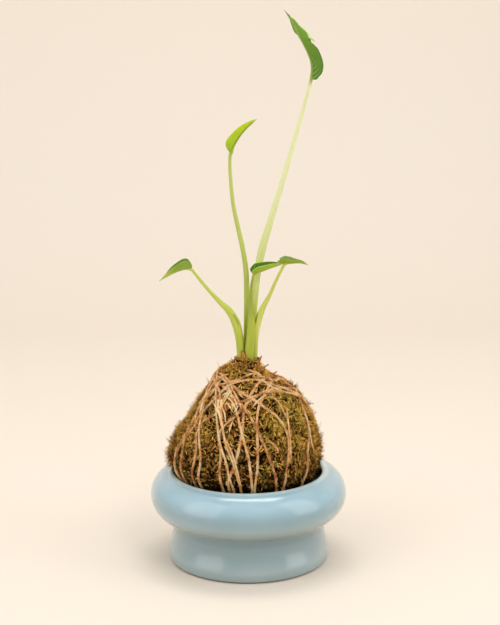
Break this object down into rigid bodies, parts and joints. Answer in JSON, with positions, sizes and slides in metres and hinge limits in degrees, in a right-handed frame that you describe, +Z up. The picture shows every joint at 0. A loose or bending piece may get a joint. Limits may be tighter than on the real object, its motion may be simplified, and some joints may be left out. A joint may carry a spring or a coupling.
{
  "type": "kokedama moss ball plant",
  "caption": "Moss ball plant: long-stalked arrow-shaped leaves on a soil ball wrapped in moss and jute twine, standing in a round-rimmed glazed pot.",
  "frame": {"origin": "on the floor under the middle of the pot's foot ring", "axes": "+Z up through the plant, -Y towards the front of the picture, +X to its right"},
  "size_m": [0.162, 0.162, 0.4497],
  "materials": {
    "pot_glaze": "pale blue gloss glaze",
    "soil": "damp peaty soil",
    "rootstock": "brown fibrous skin",
    "moss": "dry golden brown to olive sheet moss",
    "twine": "hairy natural jute",
    "petiole": "pale green, softly streaked",
    "leaf": "satin leaf green",
    "leaf_young": "satin yellow-green",
    "dried_sheath": "dry papery brown"
  },
  "bodies": {
    "root": {"pot": "pot_glaze", "soil_core": "soil", "rootstock": "rootstock", "moss_ball": "moss", "twine": "twine", "leaf_1_petiole": "petiole", "leaf_2_petiole": "petiole", "leaf_3_petiole": "petiole", "leaf_4_petiole": "petiole", "leaf_5_petiole": "petiole", "leaf_1_blade": "leaf", "leaf_2_blade": "leaf_young", "leaf_3_blade": "leaf", "leaf_4_blade": "leaf", "leaf_5_blade": "leaf", "dried_sheath": "dried_sheath"}
  },
  "joints": []
}
